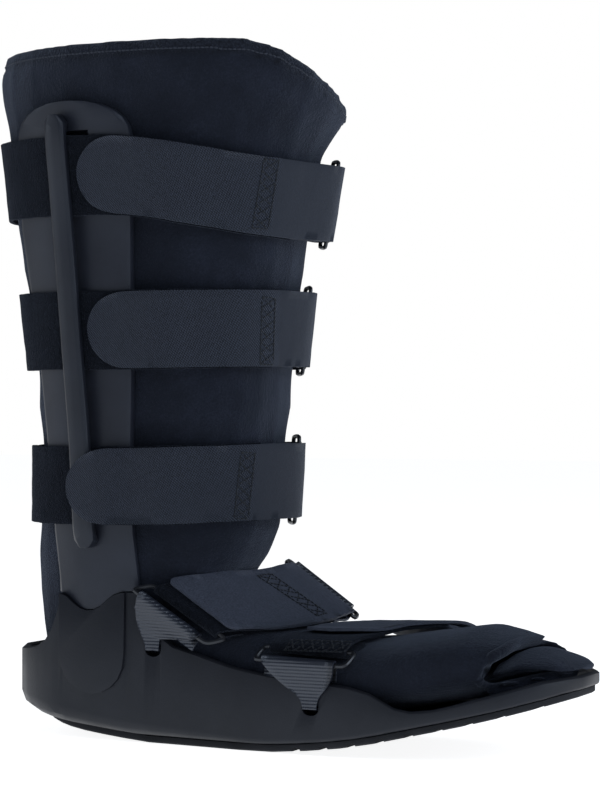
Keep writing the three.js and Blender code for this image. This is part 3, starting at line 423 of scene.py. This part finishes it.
def wire():
    """Black enamelled wire of the rings"""
    finish = Finish("black_wire", 0.3, specular=0.5)
    finish.base(finish.colours(finish.noise(scale=80), (0.3, 0.75), WIRE_COLOURS))
    finish.rough(finish.noise(scale=300), 0.26, 0.42)
    finish.bump(finish.noise(scale=700, detail=2), depth=0.00004, strength=0.4)
    return finish.material


def thread(name, colours):
    """Twisted sewing thread"""
    finish = Finish(name, 0.6, sheen=0.2, specular=0.35)
    finish.base(finish.colours(finish.noise(scale=900), (0.3, 0.8), colours))
    finish.bump(finish.noise(scale=2600, detail=2), depth=0.0001, strength=0.7)
    return finish.material


def welded(node):
    """Editable copy of a CAD node's mesh, with its corners joined and its triangles paired"""
    mesh = bmesh.new()
    mesh.from_mesh(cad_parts[node].data)
    bmesh.ops.remove_doubles(mesh, verts=mesh.verts, dist=WELD_DISTANCE)
    bmesh.ops.recalc_face_normals(mesh, faces=mesh.faces)
    bmesh.ops.join_triangles(
        mesh,
        faces=mesh.faces,
        angle_face_threshold=math.radians(PAIR_FACE_ANGLE),
        angle_shape_threshold=math.radians(PAIR_SHAPE_ANGLE),
    )
    return mesh


def smooth_shading(data):
    for polygon in data.polygons:
        polygon.use_smooth = True


def new_piece(name, mesh, material, slot, *nodes):
    """Object of a finished mesh that stands for its CAD nodes"""
    data = bpy.data.meshes.new(name)
    mesh.to_mesh(data)
    mesh.free()
    data.materials.append(material)
    smooth_shading(data)
    piece = bpy.data.objects.new(name, data)
    bpy.context.scene.collection.objects.link(piece)
    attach(piece, "root")
    if nodes:
        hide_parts(*nodes)
    return piece


def creased(mesh, degrees):
    """Marks the edges that stay sharp when the mesh is subdivided"""
    layer = mesh.edges.layers.float.get("crease_edge") or mesh.edges.layers.float.new("crease_edge")
    for edge in mesh.edges:
        if len(edge.link_faces) != 2 or edge.calc_face_angle(0) > math.radians(degrees):
            edge[layer] = 1.0


def bevelled(piece, width):
    bevel = piece.modifiers.new("rounded_edges", "BEVEL")
    bevel.width = width
    bevel.segments = BEVEL_SEGMENTS
    bevel.limit_method = "ANGLE"
    bevel.angle_limit = math.radians(BEVEL_ANGLE)
    bevel.harden_normals = False


def subdivided(piece, levels):
    surface = piece.modifiers.new("smooth_surface", "SUBSURF")
    surface.levels = levels
    surface.render_levels = levels


def apply_modifiers(piece):
    """Gives a piece the mesh that its modifiers make, and removes them"""
    graph = bpy.context.evaluated_depsgraph_get()
    finished = bpy.data.meshes.new_from_object(piece.evaluated_get(graph))
    piece.modifiers.clear()
    piece.data = finished
    smooth_shading(finished)


def raised(piece, height):
    """Moves each point along its normal by height(place)"""
    points = [(vertex.co.copy(), vertex.normal.copy()) for vertex in piece.data.vertices]
    flat = []
    for place, normal in points:
        flat.extend(place + normal * height(place))
    piece.data.vertices.foreach_set("co", flat)
    piece.data.update()


def unwrap(piece, across_axis):
    """Cloth coordinates in metres: the second runs along across_axis, the first along the strap"""
    data = piece.data
    layer = data.uv_layers.new(name="weave")
    first_axis, second_axis = (axis for axis in range(3) if axis != across_axis)
    for polygon in data.polygons:
        normal = polygon.normal
        run_axis = first_axis if abs(normal[second_axis]) > abs(normal[first_axis]) else second_axis
        for loop in polygon.loop_indices:
            place = data.vertices[data.loops[loop].vertex_index].co
            layer.data[loop].uv = (place[run_axis], place[across_axis])


def sharp_shading(piece):
    """Smooth shading that breaks at sharp edges"""
    mesh = bmesh.new()
    mesh.from_mesh(piece.data)
    for edge in mesh.edges:
        edge.smooth = len(edge.link_faces) == 2 and edge.calc_face_angle(0) < math.radians(SHARP_ANGLE)
    mesh.to_mesh(piece.data)
    mesh.free()


def hard_piece(node, material, slot, bevel, levels=0):
    """A rigid piece with its edges rounded"""
    mesh = welded(node)
    creased(mesh, RIGID_CREASE)
    piece = new_piece(node + "_body", mesh, material, slot, node)
    if levels:
        subdivided(piece, levels)
    bevelled(piece, bevel)
    apply_modifiers(piece)
    sharp_shading(piece)


def strap_piece(node, material, slot, across_axis, wobble=0.0003):
    """A strap, subdivided along its run, with soft edges and a slight unevenness"""
    mesh = welded(node)
    creased(mesh, STRAP_CREASE)
    piece = new_piece(node + "_cloth", mesh, material, slot, node)
    subdivided(piece, CLOTH_LEVELS)
    bevelled(piece, STRAP_BEVEL)
    apply_modifiers(piece)

    def unevenness(place):
        fine = WOBBLE_FINE_SHARE * noise.noise(place * WOBBLE_FINE)
        return wobble * (noise.noise(place * WOBBLE_COARSE) + fine)

    raised(piece, unevenness)
    unwrap(piece, across_axis)
    return piece


def surface_of(piece):
    """Search tree of the piece's own faces"""
    points = [vertex.co.copy() for vertex in piece.data.vertices]
    faces = [tuple(polygon.vertices) for polygon in piece.data.polygons]
    return BVHTree.FromPolygons(points, faces)


def seen_at(tree, column, row):
    """Place and normal where the picture's pixel meets a surface, or None"""
    sideways = (column - PICTURE_WIDTH / 2) / FOCAL_PIXELS
    upwards = (PICTURE_HEIGHT / 2 - row) / FOCAL_PIXELS
    direction = (FORWARD + RIGHT * sideways + UP * upwards).normalized()
    place, normal, _, _ = tree.ray_cast(CAMERA_PLACE, direction)
    if place is None:
        return None
    return place, normal


def mark_plain_end(piece, corners):
    """Marks a tab's stretch in front of its stitch box, which is brushed and not twilled"""
    tree = surface_of(piece)
    _, top_right, bottom_right, _ = corners
    top, bottom = (seen_at(tree, *corner)[0] for corner in (top_right, bottom_right))
    plain = piece.data.attributes.new("plain", "FLOAT", "POINT")
    for index, vertex in enumerate(piece.data.vertices):
        share = (vertex.co.z - bottom.z) / (top.z - bottom.z)
        seam_x = bottom.x + (top.x - bottom.x) * share
        plain.data[index].value = smooth((vertex.co.x - seam_x) / PLAIN_EDGE)


def add_ring(mesh, middle, sideways, upwards, radius, sides):
    """Ring of points round a place"""
    ring = []
    for turn in range(sides):
        angle = 2 * math.pi * turn / sides
        offset = sideways * math.cos(angle) + upwards * math.sin(angle)
        ring.append(mesh.verts.new(middle + offset * radius))
    return ring


def join_rings(mesh, rings):
    """Closed skin over a row of rings"""
    sides = len(rings[0])
    for first, second in zip(rings, rings[1:]):
        for turn in range(sides):
            following = (turn + 1) % sides
            mesh.faces.new((first[turn], first[following], second[following], second[turn]))
    mesh.faces.new(rings[0][::-1])
    mesh.faces.new(rings[-1])


def add_stitch(mesh, start, end, normal):
    """One raised stitch: a short bead of thread with pointed ends"""
    direction = (end - start).normalized()
    sideways = direction.cross(normal).normalized()
    rings = []
    for share, size in STITCH_SECTIONS:
        middle = start.lerp(end, share)
        rings.append(add_ring(mesh, middle, sideways, normal, THREAD_RADIUS * size, STITCH_SIDES))
    join_rings(mesh, rings)


def stitch_path(mesh, path):
    """A row of stitches along places with normals"""
    if len(path) < 2:
        return
    runs = [0.0]
    for (start, _), (end, _) in zip(path, path[1:]):
        runs.append(runs[-1] + (end - start).length)

    def place_at(run):
        index = min(bisect.bisect_right(runs, run), len(runs) - 1)
        share = (run - runs[index - 1]) / max(runs[index] - runs[index - 1], SHORTEST_RUN)
        return path[index - 1][0].lerp(path[index][0], share), path[index][1]

    run = 0.0
    while run + STITCH_LENGTH <= runs[-1]:
        low, normal = place_at(run)
        high, _ = place_at(run + STITCH_LENGTH)
        add_stitch(mesh, low, high, normal)
        run += STITCH_STEP


def between(first, second, share):
    """Pixel on the way from one pixel to another"""
    return tuple(a + (b - a) * share for a, b in zip(first, second))


def picture_line(tree, start, end, steps):
    """Places with normals on a surface, under a straight line of the picture"""
    path = []
    for step in range(steps + 1):
        found = seen_at(tree, *between(start, end, step / steps))
        if found:
            place, normal = found
            path.append((place + normal * THREAD_RADIUS * THREAD_LIFT, normal))
    return path


def stitch_box(mesh, tree, corners):
    """A long box of stitches filled with a row of crosses"""
    top_left, top_right, bottom_right, bottom_left = corners
    lines = [(corners[index], corners[(index + 1) % 4]) for index in range(4)]
    for cross in range(CROSSES):
        low = cross / CROSSES
        high = (cross + 1) / CROSSES
        lines.append((between(top_left, bottom_left, low), between(top_right, bottom_right, high)))
        lines.append((between(top_right, bottom_right, low), between(top_left, bottom_left, high)))
    for start, end in lines:
        stitch_path(mesh, picture_line(tree, start, end, PICTURE_LINE_STEPS))


def rim_tree():
    """Search tree of places all along the liner's upper rim"""
    mesh = welded("liner")
    places = []
    top = max(vertex.co.z for vertex in mesh.verts)
    for face in mesh.faces:
        if face.normal.z > RIM_LEVELNESS and face.calc_center_median().z > top - RIM_DEPTH:
            for edge in face.edges:
                first, second = (vertex.co for vertex in edge.verts)
                shares = [step / RIM_EDGE_STEPS for step in range(RIM_EDGE_STEPS + 1)]
                places += [first.lerp(second, share) for share in shares]
    mesh.free()
    tree = KDTree(len(places))
    for index, place in enumerate(places):
        tree.insert(place, index)
    tree.balance()
    return tree


def strap_levels():
    """Lowest and highest Z of each leg strap's band"""
    boxes = [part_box(name + "_band") for name in LEG_STRAPS]
    return [(low.z, high.z) for low, high in boxes]


def strap_room(place, levels):
    """0 under a strap, 1 well away from every strap"""
    room = 1.0
    for low, high in levels:
        outside = max(low - place.z, place.z - high, 0)
        room = min(room, smooth(outside / STRAP_REACH))
    return room


def evened(piece):
    """Remeshes a piece in small even faces and smooths the steps that this leaves"""
    remesh = piece.modifiers.new("even_faces", "REMESH")
    remesh.mode = "VOXEL"
    remesh.voxel_size = VOXEL
    relax = piece.modifiers.new("relaxed", "SMOOTH")
    relax.factor = RELAX_SHARE
    relax.iterations = RELAX_ROUNDS
    apply_modifiers(piece)


def edge_attributes(piece):
    """The felt's two attributes, 0 all over"""
    return [piece.data.attributes.new(name, "FLOAT", "POINT") for name in ("binding", "seam")]


def make_liner(material, rims):
    """The padded wall, puffed between the straps, with its binding and the seam below it"""
    piece = new_piece("liner_padding", welded("liner"), material, "liner", "liner")
    evened(piece)
    levels = strap_levels()
    lowest_strap = min(low for low, _ in levels)
    binding, seam = edge_attributes(piece)
    flat = []
    for index, vertex in enumerate(piece.data.vertices):
        place = vertex.co
        away = rims.find(place)[2]
        band = 1 - smooth((away - BINDING_WIDTH) / BINDING_FADE)
        line = 1 - smooth(abs(away - BINDING_WIDTH - SEAM_WIDTH) / SEAM_WIDTH)
        binding.data[index].value = band
        seam.data[index].value = line
        above = smooth((place.z - lowest_strap + PUFF_START) / PUFF_START)
        room = strap_room(place, levels) * above
        swell = PUFF_EVEN_SHARE + (1 - PUFF_EVEN_SHARE) * noise.noise(place * PUFF_WAVES)
        dent_share = DENT_UNDER_STRAP + (1 - DENT_UNDER_STRAP) * room
        dent = DENT * noise.noise(place * DENT_WAVES) * dent_share
        rise = (PUFF * room * swell + dent) * (1 - band) + BINDING_RAISE * band - SEAM_DEPTH * line
        flat.extend(place + vertex.normal * rise)
    piece.data.vertices.foreach_set("co", flat)
    piece.data.update()
    return piece


def make_toe_flap(material):
    """The inner toe flap, softly rounded"""
    mesh = welded("toe_flap")
    creased(mesh, TOE_FLAP_CREASE)
    piece = new_piece("toe_flap_padding", mesh, material, "liner", "toe_flap")
    subdivided(piece, CLOTH_LEVELS)
    apply_modifiers(piece)
    edge_attributes(piece)
    raised(piece, lambda place: TOE_FLAP_DENT * noise.noise(place * DENT_WAVES))


def roll_points(surface, picture_path, depth):
    """Smoothed row of places, a depth below a surface, under a line of the picture"""
    path = []
    for start, end in zip(picture_path, picture_path[1:]):
        path += picture_line(surface, start, end, ROLL_LINE_STEPS)[:-1]
    path.append(picture_line(surface, picture_path[-2], picture_path[-1], ROLL_LINE_STEPS)[-1])
    points = [place - normal * depth for place, normal in path]
    for _ in range(ROLL_SMOOTHINGS):
        inner = [(a + b * 2 + c) / 4 for a, b, c in zip(points, points[1:], points[2:])]
        points = [points[0], *inner, points[-1]]
    return points


def rolled_edge(name, surface, picture_path, radius, sink, material):
    """Soft roll of cloth that lies on a surface under a line of the picture"""
    points = roll_points(surface, picture_path, radius * sink)
    mesh = bmesh.new()
    rings = []
    for index, place in enumerate(points):
        before = points[max(index - 1, 0)]
        after = points[min(index + 1, len(points) - 1)]
        direction = (after - before).normalized()
        sideways = direction.cross(UP).normalized()
        upwards = sideways.cross(direction).normalized()
        share = index / (len(points) - 1)
        fullness = max(1 - abs(2 * share - 1) ** ROLL_END_POWER, ROLL_END_SHARE)
        rings.append(add_ring(mesh, place, sideways, upwards, radius * math.sqrt(fullness), ROLL_SIDES))
    join_rings(mesh, rings)
    bmesh.ops.recalc_face_normals(mesh, faces=mesh.faces)
    piece = new_piece(name, mesh, material, "liner")
    subdivided(piece, 1)
    apply_modifiers(piece)
    edge_attributes(piece)
    raised(piece, lambda place: ROLL_DENT * noise.noise(place * ROLL_WAVES))


def wall_place(tree, rims, middle, top, outwards):
    """How far off, place and normal of the liner's outer wall just inside the seam, or None"""
    best = None
    for lift in range(RIM_SEARCH_STEPS):
        start = Vector((middle.x, middle.y, top + RIM_SEARCH_RISE * lift)) + outwards * RIM_SEARCH_START
        place, normal, _, _ = tree.ray_cast(start, -outwards, RIM_SEARCH_START)
        if place is None or normal.dot(outwards) < RIM_OUTWARD_SHARE:
            continue
        miss = abs(rims.find(place)[2] - BINDING_WIDTH + SEAM_WIDTH)
        if best is None or miss < best[0]:
            best = (miss, place, normal)
    return best


def binding_rows(liner, rims):
    """Rows of places just inside the seam, broken where the outer wall can't be reached"""
    tree = surface_of(liner)
    low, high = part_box("upper_band")
    middle = (low + high) / 2
    rows = [[]]
    for degrees in range(0, 361, RIM_ANGLE_STEP):
        angle = math.radians(degrees)
        outwards = Vector((math.cos(angle), math.sin(angle), 0))
        best = wall_place(tree, rims, middle, high.z, outwards)
        if best is None or best[0] > RIM_MISS:
            rows.append([])
            continue
        _, place, normal = best
        place = place + normal * THREAD_RADIUS * RIM_THREAD_LIFT
        if rows[-1] and (place - rows[-1][-1][0]).length > LONGEST_RIM_STEP:
            rows.append([])
        rows[-1].append((place, normal))
    return rows


def make_rigid_pieces():
    """Shell, tread, uprights and keeper bars"""
    shell = moulded("shell_plastic", SHELL_COLOURS, roughness=0.46, grain=900)
    plate = moulded("upright_plastic", UPRIGHT_COLOURS, roughness=0.42, grain=1100)
    bar = moulded("keeper_plastic", KEEPER_COLOURS, roughness=0.4, grain=1100)
    hard_piece("shell", shell, "shell", bevel=0.0005)
    hard_piece("tread", rubber(), "tread", bevel=0.0003)
    for side in SIDES:
        hard_piece("upright_" + side, plate, "upright", bevel=0.0006)
        hard_piece("keeper_bar_" + side, bar, "keeper_bar", bevel=0.0006, levels=1)


def make_padding(rims):
    """The liner, its toe flap and the rolled edges round the toe"""
    material = felt()
    liner = make_liner(material, rims)
    make_toe_flap(material)
    surface = surface_of(liner)
    rolled_edge("toe_lower_roll", surface, TOE_LOWER_LINE, TOE_ROLL_RADIUS, TOE_ROLL_SINK, material)
    rolled_edge("near_flap_roll", surface, NEAR_FLAP_LINE, FLAP_ROLL_RADIUS, FLAP_ROLL_SINK, material)
    return liner


def make_straps():
    """All straps and rings, returning the cloth pieces that may be sewn"""
    wires = wire()
    piles = pile()
    leg_tape = woven("tab_tape", LEG_TAPE_COLOURS, pitch=0.0015, weave=1.0, end_colours=LEG_TAPE_END_COLOURS)
    foot_tape = woven("instep_tape", FOOT_TAPE_COLOURS, pitch=0.0012, weave=0.3)
    webbing = ribbed("ring_webbing", WEBBING_COLOURS, pitch=0.0019)
    cloth = {}
    for name in LEG_STRAPS:
        tab = name + "_tab"
        strap_piece(name + "_band", piles, "pile", Z_AXIS, wobble=0.0005)
        cloth[tab] = strap_piece(tab, leg_tape, "tab", Z_AXIS)
        mark_plain_end(cloth[tab], STITCH_BOXES[tab])
        hard_piece(name + "_ring", wires, "wire", bevel=0.0001, levels=2)
    for name in FOOT_STRAPS:
        strap = name + "_strap"
        tab = name + "_tab"
        cloth[strap] = strap_piece(strap, piles, "pile", X_AXIS)
        cloth[tab] = strap_piece(tab, foot_tape, "tab", X_AXIS)
        for side in SIDES:
            hard_piece(name + "_ring_" + side, wires, "wire", bevel=0.0001, levels=2)
            strap_piece(name + "_webbing_" + side, webbing, "webbing", Z_AXIS, wobble=0.0001)
    return cloth


def make_stitches(cloth, liner, rims):
    """Crossed boxes on the straps and the row along the liner's binding"""
    tab_thread = thread("tab_thread", TAB_THREAD_COLOURS)
    liner_thread = thread("liner_thread", LINER_THREAD_COLOURS)
    for node, corners in STITCH_BOXES.items():
        mesh = bmesh.new()
        stitch_box(mesh, surface_of(cloth[node]), corners)
        new_piece(node + "_stitches", mesh, tab_thread, "tab")
    mesh = bmesh.new()
    for row in binding_rows(liner, rims):
        stitch_path(mesh, row)
    new_piece("liner_binding_stitches", mesh, liner_thread, "liner")


def make_camera():
    """Level camera that frames the boot as the picture does"""
    data = bpy.data.cameras.new("camera")
    data.sensor_fit = "VERTICAL"
    data.sensor_height = SENSOR_HEIGHT
    data.lens = FOCAL_PIXELS * SENSOR_HEIGHT / PICTURE_HEIGHT
    data.clip_start = 0.05
    data.clip_end = 20
    camera = bpy.data.objects.new("camera", data)
    camera.location = CAMERA_PLACE
    camera.rotation_mode = "QUATERNION"
    camera.rotation_quaternion = FORWARD.to_track_quat("-Z", "Y")
    bpy.context.scene.collection.objects.link(camera)
    bpy.context.scene.camera = camera


def add_area_light(name, place, target, size, power):
    data = bpy.data.lights.new(name, "AREA")
    data.shape = "RECTANGLE"
    data.size, data.size_y = size
    data.energy = power
    data.color = LIGHT_TINT
    light = bpy.data.objects.new(name, data)
    light.location = place
    light.rotation_euler = (Vector(target) - Vector(place)).to_track_quat("-Z", "Y").to_euler()
    bpy.context.scene.collection.objects.link(light)


def make_world():
    """White to the camera, and a dim bluish light on the boot"""
    world = bpy.data.worlds.new("studio")
    world.use_nodes = True
    tree = world.node_tree
    lighting = tree.nodes["Background"]
    lighting.inputs["Color"].default_value = AMBIENT_TINT
    lighting.inputs["Strength"].default_value = AMBIENT
    backdrop = tree.nodes.new("ShaderNodeBackground")
    backdrop.inputs["Color"].default_value = WHITE
    path = tree.nodes.new("ShaderNodeLightPath")
    choice = tree.nodes.new("ShaderNodeMixShader")
    tree.links.new(path.outputs["Is Camera Ray"], choice.inputs["Fac"])
    tree.links.new(lighting.outputs[0], choice.inputs[1])
    tree.links.new(backdrop.outputs[0], choice.inputs[2])
    tree.links.new(choice.outputs[0], tree.nodes["World Output"].inputs["Surface"])
    bpy.context.scene.world = world
    bpy.context.scene.view_settings.view_transform = "Standard"


def make_floor():
    """Pale floor just below the sole, which glows to come close to the backdrop's white"""
    mesh = bpy.data.meshes.new("floor")
    signs = ((-1, -1), (1, -1), (1, 1), (-1, 1))
    corners = [(FLOOR_HALF * x_sign, FLOOR_HALF * y_sign, 0) for x_sign, y_sign in signs]
    mesh.from_pydata(corners, [], [(0, 1, 2, 3)])
    floor = bpy.data.objects.new("floor", mesh)
    floor.location.z = -FLOOR_DROP
    bpy.context.scene.collection.objects.link(floor)
    finish = Finish("floor_paint", 0.9, specular=0.1)
    finish.base(finish.colours(finish.noise(scale=3), (0.3, 0.7), FLOOR_COLOURS))
    finish.shader.inputs["Emission Color"].default_value = WHITE
    finish.shader.inputs["Emission Strength"].default_value = FLOOR_GLOW
    mesh.materials.append(finish.material)


make_camera()
rims = rim_tree()
make_rigid_pieces()
liner = make_padding(rims)
cloth = make_straps()
make_stitches(cloth, liner, rims)
make_world()
for light in LIGHTS:
    add_area_light(*light)
make_floor()
